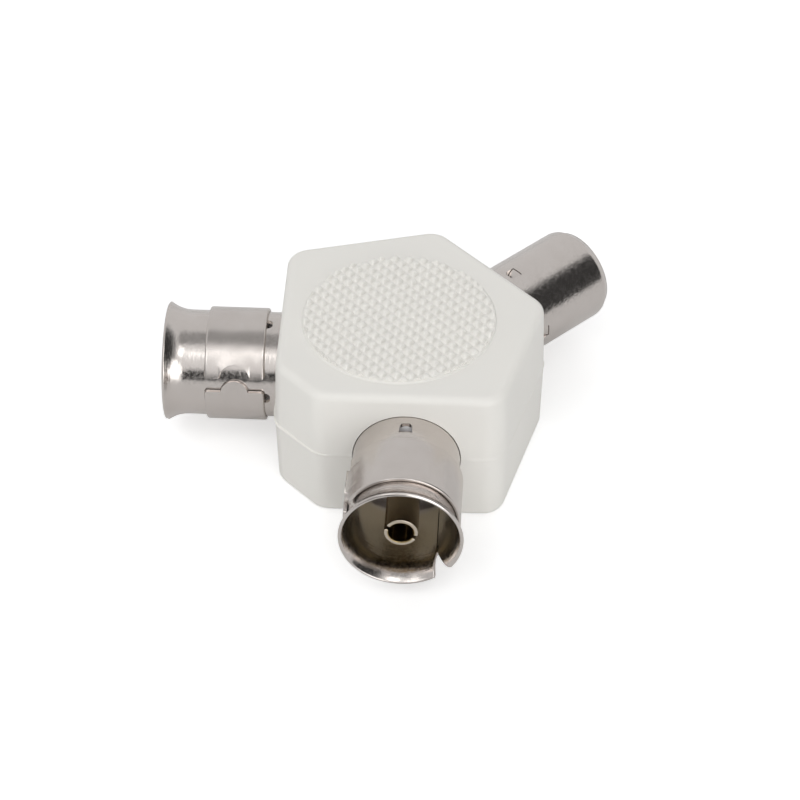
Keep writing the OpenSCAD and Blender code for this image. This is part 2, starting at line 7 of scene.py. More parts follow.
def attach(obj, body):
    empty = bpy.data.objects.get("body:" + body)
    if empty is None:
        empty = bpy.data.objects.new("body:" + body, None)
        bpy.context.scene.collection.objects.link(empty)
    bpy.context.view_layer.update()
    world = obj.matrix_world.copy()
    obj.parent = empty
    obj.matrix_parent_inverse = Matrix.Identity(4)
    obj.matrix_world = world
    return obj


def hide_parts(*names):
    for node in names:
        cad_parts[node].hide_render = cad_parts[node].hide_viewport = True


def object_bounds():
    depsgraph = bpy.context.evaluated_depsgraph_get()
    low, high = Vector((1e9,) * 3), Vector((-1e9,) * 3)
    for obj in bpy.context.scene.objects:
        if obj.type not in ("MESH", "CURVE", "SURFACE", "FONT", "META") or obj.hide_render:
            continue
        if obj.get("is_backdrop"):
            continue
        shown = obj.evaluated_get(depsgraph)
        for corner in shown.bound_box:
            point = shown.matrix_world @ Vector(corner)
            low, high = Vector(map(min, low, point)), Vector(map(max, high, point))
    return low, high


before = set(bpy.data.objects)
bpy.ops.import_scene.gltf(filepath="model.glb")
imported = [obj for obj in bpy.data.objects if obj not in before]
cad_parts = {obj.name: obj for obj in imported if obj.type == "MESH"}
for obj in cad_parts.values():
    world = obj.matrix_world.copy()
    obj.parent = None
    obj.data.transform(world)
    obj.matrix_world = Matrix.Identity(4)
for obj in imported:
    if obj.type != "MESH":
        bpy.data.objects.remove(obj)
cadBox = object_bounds()
mm = 0.001
print("frame loaded:", len(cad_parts), "nodes")

# the three axes of the fittings lie 7.6 mm up and cross over the origin; turns are in degrees
axes = {"height": 7.6, "plug": 90, "left": 225, "right": 315}


# helpers for colours and nodes

def linear(hexColour):
    channels = [int(hexColour[i:i + 2], 16) / 255 for i in (1, 3, 5)]
    return [c / 12.92 if c <= 0.04045 else ((c + 0.055) / 1.055) ** 2.4 for c in channels] + [1]


def addNode(tree, kind, settings=None, links=None):
    node = tree.nodes.new("ShaderNode" + kind)
    for key, value in (settings or {}).items():
        if isinstance(key, int) or key in node.inputs:
            node.inputs[key].default_value = value
        else:
            setattr(node, key, value)
    for key, source in (links or {}).items():
        tree.links.new(source, node.inputs[key])
    return node


def newMaterial(name, surface):
    material = bpy.data.materials.new(name)
    material.use_nodes = True
    tree = material.node_tree
    shader = tree.nodes["Principled BSDF"]
    for key, value in surface.items():
        shader.inputs[key].default_value = value
    place = addNode(tree, "TexCoord").outputs["Object"]  # metres in the part's own frame
    return material, tree, shader, place


def noise(tree, place, size, detail, roughness=0.5):
    # cloudy pattern whose features are size mm wide
    settings = {"Scale": 1 / (size * mm), "Detail": detail, "Roughness": roughness}
    return addNode(tree, "TexNoise", settings, {"Vector": place}).outputs["Fac"]


def blend(tree, factor, dark, light):
    colours = {"data_type": "RGBA", "A": linear(dark), "B": linear(light)}
    return addNode(tree, "Mix", colours, {"Factor": factor}).outputs["Result"]


def spread(tree, value, low, high, start=0.0, end=1.0):
    # value from start to end becomes low to high
    limits = {"From Min": start, "From Max": end, "To Min": low, "To Max": high}
    return addNode(tree, "MapRange", limits, {"Value": value}).outputs["Result"]


def relief(tree, height, strength, depth, under=None):
    # bump of depth mm, laid over another bump where there is one
    bump = addNode(tree, "Bump", {"Strength": strength, "Distance": depth * mm}, {"Height": height})
    if under:
        tree.links.new(under, bump.inputs["Normal"])
    return bump.outputs["Normal"]


def feed(tree, shader, sources):
    for key, source in sources.items():
        tree.links.new(source, shader.inputs[key])


# ABS, injection moulded in a finely eroded tool: a soft satin white, even, with a faint grain
def mouldedAbs():
    material, tree, shader, place = newMaterial("moulded white ABS", {"IOR": 1.53})
    cloud, grain = noise(tree, place, 6, 3), noise(tree, place, 0.22, 2)
    feed(tree, shader, {"Base Color": blend(tree, cloud, "#f0eee9", "#f5f3ed"),
                        "Roughness": spread(tree, grain, 0.38, 0.48),
                        "Normal": relief(tree, grain, 0.25, 0.012)})
    return material


# Nickel plate on brass sheet: a warm grey mirror, with fine streaks round the tube, pits and shallow dents,
# and painted shade inside the bore
def nickelPlate(name, surface, turn):
    material, tree, shader, place = newMaterial(name, {"Metallic": 1.0})
    level, turned = axes["height"] * mm, (0, 0, math.radians(turn))
    # the fitting's axis turned onto X, through the origin
    frameOf = {"vector_type": "TEXTURE", "Location": (0, 0, level), "Rotation": turned}
    straight = addNode(tree, "Mapping", frameOf, {"Vector": place}).outputs["Vector"]
    across = addNode(tree, "VectorMath", {"operation": "MULTIPLY", 1: (0, 1, 1)}, {0: straight})
    off = addNode(tree, "VectorMath", {"operation": "LENGTH"}, {0: across.outputs["Vector"]}).outputs["Value"]
    out = addNode(tree, "SeparateXYZ", None, {"Vector": straight}).outputs["X"]
    # thinner plating lets the brass through inside the bore, near the mouth
    # painted shade: inside the bore, from a given place along the axis out to the mouth, the colour turns
    # warmer and darker
    bore, start = surface["bore"] * mm, surface["boreShadeFrom"] * mm
    inside = spread(tree, off, 0, 1, bore + 0.1 * mm, bore)
    mouthward = spread(tree, out, 0, 1, start, start + 1 * mm)
    boreShadeMask = addNode(tree, "Math", {"operation": "MULTIPLY"}, {0: inside, 1: mouthward}).outputs["Value"]
    stain = noise(tree, place, 2.6, 4, 0.6)
    # the stain's tone, with the painted shade of the bore laid over it
    tint = addNode(tree, "Mix", {"data_type": "RGBA", "B": linear(surface["boreShadeColour"])},
                   {"Factor": boreShadeMask, "A": blend(tree, stain, surface["dark"], surface["colour"])})
    # the streaks are drawn out round the axis
    stretched = (1, surface["stretch"], surface["stretch"])
    drawn = addNode(tree, "Mapping", {"vector_type": "TEXTURE", "Rotation": turned, "Scale": stretched},
                    {"Vector": place})
    streak = noise(tree, drawn.outputs["Vector"], 0.3, 2, 0.6)
    # pits of about 0.3 mm, a little coarser than the real ones so that they show
    pit, dent = noise(tree, place, 0.3, 1), noise(tree, place, 3.5, 1)
    normal = None
    for height, size, depth in ((dent, "dents", 0.5), (streak, "streaks", 0.03), (pit, "pits", 0.03)):
        normal = relief(tree, height, surface[size], depth, normal)
    gloss = spread(tree, pit, surface["rough"] - 0.02, surface["rough"] + surface["worn"], 0.35, 0.65)
    feed(tree, shader, {"Base Color": tint.outputs["Result"], "Roughness": gloss, "Normal": normal})
    return material


# Natural polyethylene, moulded: milky and slightly waxy
def naturalPolyethylene():
    material, tree, shader, place = newMaterial("natural polyethylene", {"Roughness": 0.4, "IOR": 1.51})
    cloud = noise(tree, place, 1.5, 2)
    feed(tree, shader, {"Base Color": blend(tree, cloud, "#dddde0", "#e8e8ea"),
                        "Normal": relief(tree, cloud, 0.3, 0.02)})
    return material


# Manganese-zinc ferrite, pressed and sintered: charcoal grey, matt, with grains that glint
def sinteredFerrite():
    material, tree, shader, place = newMaterial("sintered ferrite", {"Roughness": 0.6, "IOR": 2.2})
    grit = noise(tree, place, 0.2, 4)
    feed(tree, shader, {"Base Color": blend(tree, grit, "#2c2d2f", "#4a4b4d"),
                        "Normal": relief(tree, grit, 0.5, 0.03)})
    return material


# Copper wire under clear polyurethane enamel: reddish gold with a wet gloss
def enamelledCopper():
    enamel = {"Metallic": 1.0, "Roughness": 0.25, "Coat Weight": 1.0, "Coat Roughness": 0.08}
    material, tree, shader, place = newMaterial("enamelled copper wire", enamel)
    feed(tree, shader, {"Base Color": blend(tree, noise(tree, place, 0.4, 2), "#a8572c", "#cb7a45")})
    return material


# Hot-dipped tinplate: silvery, with pale crystal flowers some 2 mm wide
def tinnedSheet():
    material, tree, shader, place = newMaterial("tinned steel sheet", {"Metallic": 1.0})
    crystal = addNode(tree, "TexVoronoi", {"Scale": 1 / (2 * mm)}, {"Vector": place})
    shade = addNode(tree, "RGBToBW", None, {"Color": crystal.outputs["Color"]}).outputs["Val"]
    feed(tree, shader, {"Base Color": blend(tree, shade, "#b9b9b6", "#d4d4d0"),
                        "Roughness": spread(tree, shade, 0.22, 0.38)})
    return material


# Tin alloy that ran and set: bright, with shallow ripples
def setSolder():
    material, tree, shader, place = newMaterial("soft solder", {"Metallic": 1.0, "Roughness": 0.2})
    ripple = noise(tree, place, 0.6, 2)
    feed(tree, shader, {"Base Color": blend(tree, ripple, "#c4c5c6", "#dcddde"),
                        "Normal": relief(tree, ripple, 0.6, 0.05)})
    return material


# Resistor body dipped in lacquer: beige gloss with printed value rings along its length
def ringedLacquer(half):
    material, tree, shader, place = newMaterial("resistor lacquer", {"Roughness": 0.3, "IOR": 1.5})
    split = addNode(tree, "SeparateXYZ", None, {"Vector": place})
    rings = addNode(tree, "ValToRGB", None, {"Fac": spread(tree, split.outputs["X"], 0, 1, -half, half)})
    rings.color_ramp.interpolation = "CONSTANT"
    stops = [(0, "#cdb285"), (0.2, "#a3622d"), (0.28, "#cdb285"), (0.38, "#35302c"), (0.46, "#cdb285"),
             (0.56, "#a3622d"), (0.64, "#cdb285"), (0.78, "#b89442"), (0.86, "#cdb285")]
    for i, (at, colour) in enumerate(stops):
        stop = rings.color_ramp.elements[i] if i < 2 else rings.color_ramp.elements.new(at)
        stop.position, stop.color = at, linear(colour)
    feed(tree, shader, {"Base Color": rings.outputs["Color"]})
    return material


# bore: radius inside which the bore gets painted shade, a warmer and darker tint, from the next given place
# out along the axis; worn: how much rougher the pits are;
# stretch: how far the streaks run round; dents, streaks and pits: strength of each bump
sheetMetal = {"colour": "#d5cfcb", "dark": "#c8c1bc", "boreShadeColour": "#c9bda6", "bore": 4.85, "boreShadeFrom": 15.2,
              "rough": 0.17, "worn": 0.08, "stretch": 14, "dents": 0.15, "streaks": 0.45, "pits": 0.2}
plugMetal = {**sheetMetal, "bore": 3.4, "dents": 0.05, "streaks": 0.06, "pits": 0.4}
stripMetal = {"colour": "#d3cdc9", "dark": "#c5beb9", "boreShadeColour": "#cfc0a4", "bore": 4.9, "boreShadeFrom": 10,
              "rough": 0.25, "worn": 0.02, "stretch": 10, "dents": 0.2, "streaks": 0.1, "pits": 0.02}
contactMetal = {"colour": "#d2c8ba", "dark": "#c2b6a4", "boreShadeColour": "#a8946c", "bore": 1.25, "boreShadeFrom": 5,
                "rough": 0.2, "worn": 0.02, "stretch": 6, "dents": 0.05, "streaks": 0.05, "pits": 0.02}
finishes = {
    "housing": mouldedAbs(),
    "nickel_plate": nickelPlate("nickel-plated plug sleeve", plugMetal, axes["plug"]),
    "left_sleeve": nickelPlate("nickel-plated left sleeve", sheetMetal, axes["left"]),
    "right_sleeve": nickelPlate("nickel-plated right sleeve", sheetMetal, axes["right"]),
    "left_ring": nickelPlate("nickel-plated left spring strip", stripMetal, axes["left"]),
    "right_ring": nickelPlate("nickel-plated right spring strip", stripMetal, axes["right"]),
    "contact": nickelPlate("nickel-plated left contact", contactMetal, axes["left"]),
    "right_contact": nickelPlate("nickel-plated right contact", contactMetal, axes["right"]),
    "pin": nickelPlate("nickel-plated pin", {**contactMetal, "bore": 0.1}, axes["plug"]),
    "insulator": naturalPolyethylene(),
    "tinplate": tinnedSheet(),
    "solder": setSolder(),
    "ferrite": sinteredFerrite(),
    "enamelled_wire": enamelledCopper(),
    "resistor_body": ringedLacquer(1.8 * mm),  # half its length
    "tinned_wire": tinnedSheet(),
}
print("materials made:", len(finishes))


# helpers for meshes

def alongAxis(turn, s, r, t):
    # s mm out along a fitting's axis, r mm off it, t degrees round it from its underside
    a, t = math.radians(turn), math.radians(t)
    out, side = Vector((math.cos(a), math.sin(a), 0)), Vector((-math.sin(a), math.cos(a), 0))
    centre = out * s + Vector((0, 0, axes["height"]))
    return (centre + r * (side * math.sin(t) - Vector((0, 0, 1)) * math.cos(t))) * mm


def bakeModifiers(piece):
    shaped = bpy.data.meshes.new_from_object(piece.evaluated_get(bpy.context.evaluated_depsgraph_get()))
    old = piece.data
    piece.modifiers.clear()
    piece.data = shaped
    bpy.data.meshes.remove(old)


def placed(name, data):
    made = bpy.data.objects.new(name, data)
    bpy.context.scene.collection.objects.link(made)
    return made


def pieceFrom(name, bm, finish=None, facing=True):
    if facing:
        bmesh.ops.recalc_face_normals(bm, faces=bm.faces)
    mesh = bpy.data.meshes.new(name)
    bm.to_mesh(mesh)
    bm.free()
    if finish:
        mesh.materials.append(finishes[finish])
    return placed(name, mesh)


def removePiece(piece):
    mesh = piece.data
    bpy.data.objects.remove(piece)
    bpy.data.meshes.remove(mesh)


def placeOf(co, turn):
    # the reverse of alongAxis, without the angle
    a = math.radians(turn)
    s = (co.x * math.cos(a) + co.y * math.sin(a)) / mm
    side, up = (co.y * math.cos(a) - co.x * math.sin(a)) / mm, co.z / mm - axes["height"]
    return s, math.hypot(side, up)


def bevelFrom(piece, turn, low, bevel, segments=3):
    # rounds only the sharp edges past a place along the axis, so close rows elsewhere don't hold it back
    bm = bmesh.new()
    bm.from_mesh(piece.data)
    weight = bm.edges.layers.float.new("bevel_weight_edge")
    for e in bm.edges:
        if len(e.link_faces) == 2 and e.calc_face_angle(0) > math.radians(35):
            e[weight] = min(placeOf(v.co, turn)[0] for v in e.verts) > low
    bm.to_mesh(piece.data)
    bm.free()
    edge = piece.modifiers.new("edge", "BEVEL")
    edge.width, edge.segments, edge.limit_method = bevel * mm, segments, "WEIGHT"
    edge.use_clamp_overlap = False
    bakeModifiers(piece)


def softenStrip(piece, turn, ends, r, half):
    # thins a strip towards its two sheared edges, so that they come out rounded
    for v in piece.data.vertices:
        s, off = placeOf(v.co, turn)
        d = min(s - ends[0], ends[1] - s) / half
        if d < 1:
            axis = alongAxis(turn, s, 0, 0)
            keep = 0.3 + 0.7 * math.sqrt(max(0, 1 - (1 - max(0, d)) ** 2))  # share of the thickness left
            v.co = axis + (v.co - axis) * (r + (off - r) * keep) / off


def finishEdges(piece, bevel=0):
    # a small bevel that catches the light, then smooth shading that keeps flat faces flat
    if bevel:
        edge = piece.modifiers.new("edge", "BEVEL")
        edge.width, edge.segments, edge.limit_method = bevel * mm, 2, "ANGLE"
        edge.angle_limit, edge.use_clamp_overlap = math.radians(35), True
        bakeModifiers(piece)
    piece.data.shade_smooth()
    piece.data.set_sharp_from_angle(angle=math.radians(50))
    weigh = piece.modifiers.new("weigh", "WEIGHTED_NORMAL")
    weigh.keep_sharp = True
    bakeModifiers(piece)


def putOn(piece, node):
    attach(piece, "root")
    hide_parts(node)


def stepsWith(low, high, step, marks=()):
    # even steps from low to high that also stop at every mark
    stops = sorted({low, high, *[m for m in marks if low < m < high]})
    values = [low]
    for a, b in zip(stops, stops[1:]):
        n = max(1, round((b - a) / step))
        values += [a + (b - a) * (i + 1) / n for i in range(n)]
    return values


def addSheet(bm, turn, path, columns, shape=None, skip=None, closed=False):
    # middle surface of a rolled sheet: path is (s, r) along it, columns are angles round it;
    # shape may move a point (s, r, t), skip leaves out cells by the place of their middle
    rows = []
    for s, r in path:
        row = []
        for t in columns[:-1] if closed else columns:
            point = shape(s, r, t) if shape else (s, r, t)
            row.append(bm.verts.new(alongAxis(turn, *point)))
        rows.append(row)
    count = len(columns) - 1
    for j in range(len(path) - 1):
        for i in range(count):
            k = (i + 1) % count if closed else i + 1
            middle = ((path[j][0] + path[j + 1][0]) / 2, (path[j][1] + path[j + 1][1]) / 2,
                      (columns[i] + columns[i + 1]) / 2)
            if skip and skip(*middle):
                continue
            bm.faces.new((rows[j][i], rows[j][k], rows[j + 1][k], rows[j + 1][i]))


def joinRings(bm, rings):
    # faces between neighbouring rings of points, the last back to the first; a ring may be one point
    count = len(rings[0])
    for a, b in zip(rings, rings[1:] + rings[:1]):
        for i in range(count):
            k = (i + 1) % count
            corners = list(dict.fromkeys((a[i], a[k], b[k], b[i])))
            if len(corners) > 2:
                bm.faces.new(corners)


def addTurned(bm, turn, profile, count=96):
    # solid turned about a fitting's axis from a closed outline of (s, r) points
    rings = []
    for s, r in profile:
        if r < 1e-6:
            rings.append([bm.verts.new(alongAxis(turn, s, 0, 0))] * count)
        else:
            rings.append([bm.verts.new(alongAxis(turn, s, r, 360 * i / count)) for i in range(count)])
    joinRings(bm, rings)


def thicken(piece, thickness):
    sheet = piece.modifiers.new("sheet", "SOLIDIFY")
    sheet.thickness, sheet.offset, sheet.use_even_offset = thickness * mm, 0, True
    bakeModifiers(piece)


def cutWith(piece, tool, operation="DIFFERENCE"):
    cut = piece.modifiers.new("cut", "BOOLEAN")
    cut.object, cut.operation, cut.solver = tool, operation, "EXACT"
    bakeModifiers(piece)
    removePiece(tool)


# the housing: two mouldings with rounded corners, drafted walls and a rounded rim, met at the axes
# faces: direction and distance of each outer face, the other sizes in mm and the draft in degrees

housing = {
    "faces": [(30, 12.2), (90, 10.7), (150, 12.2), (225, 13.0), (270, 15.285), (315, 13.0)],
    "upper": 7.4, "lower": 7.6, "wall": 1.4, "cornerR": 2.5, "edgeR": 0.8, "draft": 1.6,
    "cornerSteps": 10, "sideStep": 1.0, "edgeSteps": 6,
    "flash": 0.3, "partingBevel": 0.16, "ribT": 0.9, "postR": 1.6, "pegR": 0.8, "pegL": 3.0, "gap": 0.08,
    "slotHalf": 1.88, "flangeOut": 0.6,
}


def cornerPoint(i, inset):
    (a, p), (b, q) = housing["faces"][i], housing["faces"][(i + 1) % 6]
    a, b, p, q = math.radians(a), math.radians(b), p - inset, q - inset
    d = math.sin(b - a)
    return Vector(((p * math.sin(b) - q * math.sin(a)) / d, (q * math.cos(a) - p * math.cos(b)) / d, 0))


def outlineRing(radius, z, swell=None):
    # one level ring of the housing's outline with its corners rounded to radius
    arcs = []
    for i in range(6):
        a, b = housing["faces"][i][0], housing["faces"][(i + 1) % 6][0]
        b += 360 if b < a else 0
        centre = cornerPoint(i, housing["cornerR"])
        n = housing["cornerSteps"]
        turns = [math.radians(a + (b - a) * k / n) for k in range(n + 1)]
        arcs.append([centre + radius * Vector((math.cos(t), math.sin(t), 0)) for t in turns])
    ring = []
    for i in range(6):
        ring += arcs[i]
        start, end = arcs[i][-1], arcs[(i + 1) % 6][0]
        flat = (cornerPoint(i, housing["cornerR"]) - cornerPoint((i + 1) % 6, housing["cornerR"])).length
        n = max(2, round(flat / housing["sideStep"]))
        ring += [start.lerp(end, k / n) for k in range(1, n)]
    if swell:
        ring = [p * (1 + swell(p) / p.length) for p in ring]
    return [Vector((p.x, p.y, z)) for p in ring]


def loft(name, rings):
    bm = bmesh.new()
    loops = [[bm.verts.new(p * mm) for p in ring] for ring in rings]
    n = len(loops[0])
    for a, b in zip(loops, loops[1:]):
        for i in range(n):
            bm.faces.new((a[i], a[(i + 1) % n], b[(i + 1) % n], b[i]))
    bm.faces.new(loops[0])
    bm.faces.new(loops[-1])
    return pieceFrom(name, bm)


def boxTool(name, low, high, turn=0):
    bm = bmesh.new()
    bmesh.ops.create_cube(bm, size=1)
    low, high = Vector(low) * mm, Vector(high) * mm
    for v in bm.verts:
        v.co = Vector([low[k] + (v.co[k] + 0.5) * (high[k] - low[k]) for k in range(3)])
    bmesh.ops.rotate(bm, verts=bm.verts, matrix=Matrix.Rotation(math.radians(turn), 3, "Z"))
    return pieceFrom(name, bm)


def roundTool(name, turn, steps):
    # stepped round bar along a fitting's axis: steps is a list of (s, r)
    bm = bmesh.new()
    addTurned(bm, turn, [(steps[0][0], 0)] + steps + [(steps[-1][0], 0)], 128)
    return pieceFrom(name, bm)


def postTool(name, x, y, low, high, r):
    bm = bmesh.new()
    r, tall = r * mm, (high - low) * mm
    bmesh.ops.create_cone(bm, cap_ends=True, segments=40, radius1=r, radius2=r, depth=tall)
    bmesh.ops.translate(bm, verts=bm.verts, vec=Vector((x, y, (low + high) / 2)) * mm)
    return pieceFrom(name, bm)


# where each sleeve passes the wall: direction, housing face, back of the flange, sleeve radius, rib bore
passages = [(axes["plug"], 10.7, 8.88, 4.56, 4.24), (axes["left"], 13.0, 11.23, 5.15, 4.88),
            (axes["right"], 13.0, 11.23, 5.15, 4.88)]
posts = [(0, -11.485), (-11.19, 0.586), (11.19, 0.586)]


def swellOf(p):
    # the flash along the parting line stands out most on the face towards the left front
    strength = 0.3 + 0.7 * max(0, min(1, (-p.x - 0.2 * p.y + 3) / 8)) if p.y < 2 else 0.3
    ragged = 0.75 + 0.25 * math.sin(p.x * 2.3) * math.sin(p.y * 1.7 + 1)
    return housing["flash"] * strength * ragged


def halfHousing(name, height, up):
    h, z0, corner = housing, axes["height"], housing["cornerR"]
    sign = 1 if up else -1
    slope = math.tan(math.radians(h["draft"]))
    bevel = h["partingBevel"]
    if up:  # the upper moulding carries the flash
        outer = [outlineRing(corner - 0.02, z0), outlineRing(corner, z0 + 0.01, swellOf),
                 outlineRing(corner, z0 + 0.07, swellOf), outlineRing(corner - 0.005, z0 + 0.16),
                 outlineRing(corner - 0.01, z0 + 0.3)]
    else:
        outer = [outlineRing(corner - inset, z0 - down) for inset, down in (
            (bevel, 0), (bevel * 0.3, bevel * 0.35), (0.005, bevel * 1.2), (0.01, 0.3))]
    top = height - h["edgeR"]
    for part in (0.25, 0.5, 0.75):
        outer.append(outlineRing(corner - top * part * slope, z0 + sign * top * part))
    middle = corner - top * slope - h["edgeR"]
    for k in range(h["edgeSteps"] + 1):
        a = math.radians(90 * k / h["edgeSteps"])
        rise = top + h["edgeR"] * math.sin(a)
        outer.append(outlineRing(middle + h["edgeR"] * math.cos(a), z0 + sign * rise))
    body = loft(name, outer)

    inner, depth, soft = [], height - h["wall"], 0.4
    inner.append(outlineRing(corner - h["wall"], z0 - sign * 0.1))
    foot = corner - h["wall"] - (depth - soft) * slope - soft
    for k in range(5):
        a = math.radians(22.5 * k)
        inner.append(outlineRing(foot + soft * math.cos(a), z0 + sign * (depth - soft + soft * math.sin(a))))
    room = loft("room", inner)
    for turn, face, root, r, bore in passages:
        ribAt = root - 0.02 - h["ribT"]
        rib = boxTool("rib", (ribAt, -16, -1), (ribAt + h["ribT"], 16, 16), turn)
        cutWith(rib, roundTool("bore", turn, [(ribAt - 0.1, bore), (ribAt + 1.0, bore)]))
        if not up:
            low, high = (ribAt - 0.1, -h["slotHalf"], z0 - r - h["gap"]), (ribAt + 1, h["slotHalf"], z0 + 0.1)
            cutWith(rib, boxTool("slot", low, high, turn))
        cutWith(room, rib)
    for x, y in posts:
        cutWith(room, postTool("post", x, y, -0.5, 15.5, h["postR"]))
    cutWith(body, room)
    for turn, face, root, r, bore in passages:
        seat = r + h["flangeOut"] + h["gap"]
        cutWith(body, roundTool("passage", turn, [
            (root - 0.02, seat), (face - h["wall"], seat), (face - h["wall"], r + h["gap"]),
            (face - 0.18, r + 0.05), (face + 0.3, r + 0.07)]))
    if not up:
        for x, y in posts:
            cutWith(body, postTool("hole", x, y, z0 - h["pegL"] - 0.2, z0 + 0.1, h["pegR"] + h["gap"]))
    return body


# the grip pad: rows of small pyramids inside a plain rim
pad = {"r": 9.4, "rim": 0.14, "rimH": 0.14, "h": 0.5, "depthX": 0.46, "depthY": 0.34, "pitch": 0.98,
       "turn": -3.4, "centre": (0, -1.85), "roof": 15.0, "cell": 10, "under": -0.3, "shoulder": 0.12,
       "sides": 160}


def grooveDepth(v):
    # 0 on a tip, 1 in a groove, with rounded tips and groove floors
    away = abs((v / pad["pitch"]) % 1 - 0.5) * 2
    u = max(0, min(1, (away - 0.3) / 0.6))
    return 0.2 * u + 0.8 * u * u * (3 - 2 * u)


def pyramidField():
    reach = math.ceil(pad["r"] / pad["pitch"]) + 1
    count, size = 2 * reach * pad["cell"], pad["pitch"] / pad["cell"]
    bm = bmesh.new()
    top = []
    for i in range(count + 1):
        row = []
        for j in range(count + 1):
            a, b = pad["depthX"] * grooveDepth(i * size), pad["depthY"] * grooveDepth(j * size)
            high = pad["h"] - (a ** 5 + b ** 5) ** 0.2  # the deeper groove wins, softly where they cross
            start = reach * pad["pitch"]
            row.append(bm.verts.new(Vector((i * size - start, j * size - start, high)) * mm))
        top.append(row)
    for i in range(count):
        for j in range(count):
            bm.faces.new((top[i][j], top[i + 1][j], top[i + 1][j + 1], top[i][j + 1]))
    border = [e for e in bm.edges if len(e.link_faces) == 1]
    for v in bmesh.ops.extrude_edge_only(bm, edges=border)["geom"]:
        if isinstance(v, bmesh.types.BMVert):
            v.co.z = pad["under"] * mm
    bmesh.ops.holes_fill(bm, edges=[e for e in bm.edges if len(e.link_faces) == 1], sides=0)
    field = pieceFrom("field", bm)
    cutWith(field, postTool("disc", 0, 0, -0.2, 2, pad["r"] - pad["rim"]), "INTERSECT")
    return field


def gripPad():
    field = pyramidField()
    bm = bmesh.new()
    bm.from_mesh(field.data)
    removePiece(field)
    # plain rim with a rounded shoulder, run down into the roof
    r, soft, n = pad["r"], pad["shoulder"], pad["sides"]
    outline = [(0, pad["under"]), (r + 0.12, pad["under"]), (r + 0.12, 0.0), (r + 0.04, 0.02), (r, 0.07)]
    outline += [(r - soft * (1 - math.cos(a)), pad["rimH"] - soft * (1 - math.sin(a)))
                for a in map(math.radians, (0, 30, 60, 90))] + [(0, pad["rimH"])]
    rings = []
    for r, z in outline:
        if r == 0:
            rings.append([bm.verts.new(Vector((0, 0, z)) * mm)] * n)
        else:
            turns = [math.tau * i / n for i in range(n)]
            rings.append([bm.verts.new(Vector((r * math.cos(t), r * math.sin(t), z)) * mm) for t in turns])
    joinRings(bm, rings)
    bmesh.ops.rotate(bm, verts=bm.verts, matrix=Matrix.Rotation(math.radians(pad["turn"]), 3, "Z"))
    bmesh.ops.translate(bm, verts=bm.verts, vec=Vector((*pad["centre"], pad["roof"])) * mm)
    return pieceFrom("grip", bm)


def joined(name, parts, finish):
    bm = bmesh.new()
    for part in parts:
        bm.from_mesh(part.data)
        removePiece(part)
    return pieceFrom(name, bm, finish, facing=False)


pegFoot, pegTop = axes["height"] - housing["pegL"], axes["height"] + 1
pegs = [postTool("peg", x, y, pegFoot, pegTop, housing["pegR"]) for x, y in posts]
upperBody = halfHousing("upperBody", housing["upper"], True)
upper = joined("upperHousing", [upperBody, gripPad()] + pegs, "housing")
lower = joined("lowerHousing", [halfHousing("lowerBody", housing["lower"], False)], "housing")
for piece in (upper, lower):
    finishEdges(piece)
putOn(upper, "upper_shell")
putOn(lower, "lower_shell")
print("housing made:", len(upper.data.polygons), "and", len(lower.data.polygons), "faces")


# the socket sleeves: rolled sheet with a flared mouth, a butt seam and a notch where it meets the mouth

# r is the middle of the sheet; places along the axis are counted from the crossing of the axes
socket = {
    "sheet": 0.35, "r": 4.975, "back": 11.23, "mouth": 24.3, "mouthR": 5.775, "flareL": 2.3,
    "seam": 43.5, "seamW": 0.15, "notchW": 1.6, "notchL": 2.3, "flangeR": 5.75, "tailAt": 8.83,
    "tailTurn": 20.8, "tabAt": 13.75, "tabL": 1.25, "tabW": 1.2, "tabIn": 1.1, "tabRound": 0.5,
    "face": 13.0, "edge": 0.1,
}
tabRows = [0, 0.02, 0.07, 0.15, 0.27, 0.45]  # close rows at the rounded end of a tab's window
tabTurns = [0, 90, 180, 270]
flangeCut = 21  # half the sector, in degrees, where the flange leaves room for the tail
tailRows = [0.45 * k for k in range(7)]


def tabHalf(s, r, at, gap=0):
    # half the width of a tab's window, in degrees: its end towards the housing is rounded
    low = max(0, socket["tabRound"] - (s - at))
    chord = math.sqrt(max(0, socket["tabRound"] ** 2 - low ** 2)) - socket["tabRound"]
    return math.degrees(max(0.12, socket["tabW"] / 2 + chord - gap) / r)


def windowHalf(r):
    return math.degrees(socket["tabW"] / 2 / r)


def fromTab(t):
    # degrees to the nearest of the four tabs
    return (t + 45) % 90 - 45


def inWindow(s, t, at, r):
    return at < s < at + socket["tabL"] and abs(fromTab(t)) < windowHalf(r)


def underTail(t):
    return abs((t + 180) % 360 - 180) < flangeCut


def besideTab(s, r, t, at):
    # draws the edge of the sheet in along a window's rounded end
    away, half = fromTab(t), windowHalf(r)
    if abs(away) < half + 0.01 and -0.001 < s - at < socket["tabRound"]:
        t -= away * (1 - tabHalf(s, r, at) / half)
    return t


def tabCells(bm, turn, r, at, gap=0.06):
    # tongues sheared on three sides and pressed in towards the housing
    share = (socket["tabL"] - gap) / socket["tabL"]
    path = [(at + gap + share * v, r) for v in tabRows + [0.7, 0.95, 1.25]]
    for a in tabTurns:
        def press(s, rr, t):
            drop = 1 - (s - at) / socket["tabL"]
            return s, rr - socket["tabIn"] * drop ** 1.3 - 0.01, a + t * tabHalf(s, rr, at, gap)
        addSheet(bm, turn, path, [-1, -0.75, -0.4, 0, 0.4, 0.75, 1], press)


